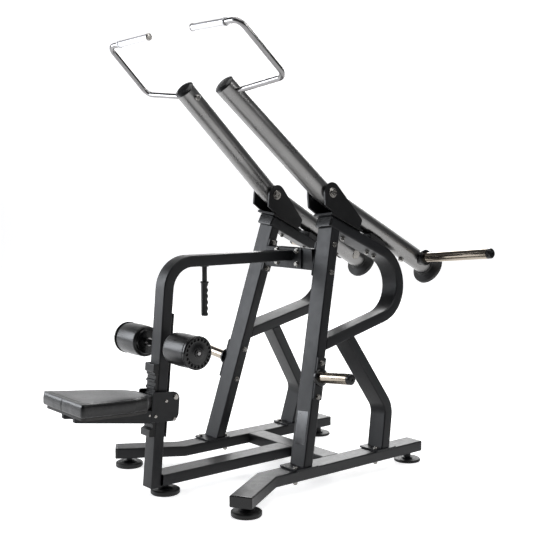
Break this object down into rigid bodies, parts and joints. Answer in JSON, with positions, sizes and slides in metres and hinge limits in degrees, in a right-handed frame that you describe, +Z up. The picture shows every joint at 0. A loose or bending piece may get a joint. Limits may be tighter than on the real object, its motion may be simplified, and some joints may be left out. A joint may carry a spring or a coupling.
{
  "type": "lat pulldown machine",
  "caption": "Plate-loaded lat pulldown machine with two converging lever arms, bent handles, loading horns, height-adjustable seat with toothed latch, and thigh rollers",
  "frame": {"origin": "middle of the footprint on the floor, on the mirror plane", "axes": "+X to the machine's right-hand side as seen from behind the seat, +Y from the seat toward the levers' weights, +Z up"},
  "size_m": [1.4154, 1.9799, 2.013],
  "materials": {
    "frame_paint": "fine-textured charcoal powder coat",
    "black_paint": "satin black powder coat",
    "lever_paint": "satin gunmetal metallic coat",
    "black_rubber": "matt moulded rubber",
    "black_plastic": "moulded black plastic",
    "chrome": "bright chrome plate",
    "polished_steel": "polished steel tube",
    "satin_aluminium": "satin anodised, fine turned lines",
    "bolt_steel": "zinc-plated fasteners",
    "upholstery": "black grained upholstery",
    "grip_rubber": "black moulded finger grip",
    "board": "black-backed plywood base",
    "label": "blank dark plate"
  },
  "bodies": {
    "frame": {"blank_label": "label", "centre_beam": "frame_paint", "cross_beam": "frame_paint", "cross_tube": "frame_paint", "cross_tube_plates": "frame_paint", "feet": "black_rubber", "foot_plates": "frame_paint", "foot_risers": "frame_paint", "frame_bolts": "bolt_steel", "guide_rail": "black_paint", "hanging_grip": "grip_rubber", "hanging_rod": "chrome", "leg_left": "frame_paint", "leg_right": "frame_paint", "lever_bracket_left": "black_paint", "lever_bracket_right": "black_paint", "lever_stops": "black_rubber", "loop_tube_left": "frame_paint", "loop_tube_right": "frame_paint", "pivot_bolts": "bolt_steel", "roller_axle": "chrome", "seat_post": "frame_paint", "seat_rack": "black_paint", "side_beam_left": "frame_paint", "side_beam_right": "frame_paint", "storage_collars": "black_plastic", "storage_horns": "polished_steel", "storage_strips": "frame_paint", "tube_caps": "black_plastic", "upright_left": "frame_paint", "upright_right": "frame_paint"},
    "lever_arm_right": {"lever_right": "lever_paint", "lever_bush_right": "chrome", "lever_bumper_right": "black_rubber", "lever_cap_right": "black_plastic", "horn_collar_right": "black_plastic", "loading_horn_right": "polished_steel", "horn_cap_right": "black_plastic", "handle_bar_right": "chrome", "hand_grip_right": "satin_aluminium", "lever_fittings_right": "bolt_steel"},
    "roller_right": {"thigh_roller_right": "upholstery", "roller_caps_right": "black_plastic"},
    "lever_arm_left": {"lever_left": "lever_paint", "lever_bush_left": "chrome", "lever_bumper_left": "black_rubber", "lever_cap_left": "black_plastic", "horn_collar_left": "black_plastic", "loading_horn_left": "polished_steel", "horn_cap_left": "black_plastic", "handle_bar_left": "chrome", "hand_grip_left": "satin_aluminium", "lever_fittings_left": "bolt_steel"},
    "roller_left": {"thigh_roller_left": "upholstery", "roller_caps_left": "black_plastic"},
    "seat": {"seat_pad": "upholstery", "seat_board": "board", "seat_carriage": "frame_paint", "seat_bolts": "bolt_steel"},
    "latch": {"seat_latch": "black_paint"}
  },
  "joints": [
    {"name": "lever_pivot_right", "type": "hinge", "parent": "frame", "child": "lever_arm_right", "pos_m": [0.19839, 0.2611, 1.30734], "axis": [0.9945, 0, 0.1045], "range_deg": [0, 60]},
    {"name": "lever_pivot_left", "type": "hinge", "parent": "frame", "child": "lever_arm_left", "pos_m": [-0.19839, 0.2611, 1.30734], "axis": [0.9945, 0, -0.1045], "range_deg": [0, 60]},
    {"name": "seat_height", "type": "slide", "parent": "frame", "child": "seat", "axis": [0, 0.0872, 0.9962], "range_m": [-0.03, 0.09]},
    {"name": "latch_pawl", "type": "hinge", "parent": "seat", "child": "latch", "pos_m": [0, -0.60223, 0.37018], "axis": [1, 0, 0], "range_deg": [0, 16]},
    {"name": "thigh_roller_spin_right", "type": "hinge", "parent": "frame", "child": "roller_right", "pos_m": [0.1925, -0.50783, 0.659], "axis": [1, 0, 0], "continuous": true},
    {"name": "thigh_roller_spin_left", "type": "hinge", "parent": "frame", "child": "roller_left", "pos_m": [-0.1925, -0.50783, 0.659], "axis": [1, 0, 0], "continuous": true}
  ]
}
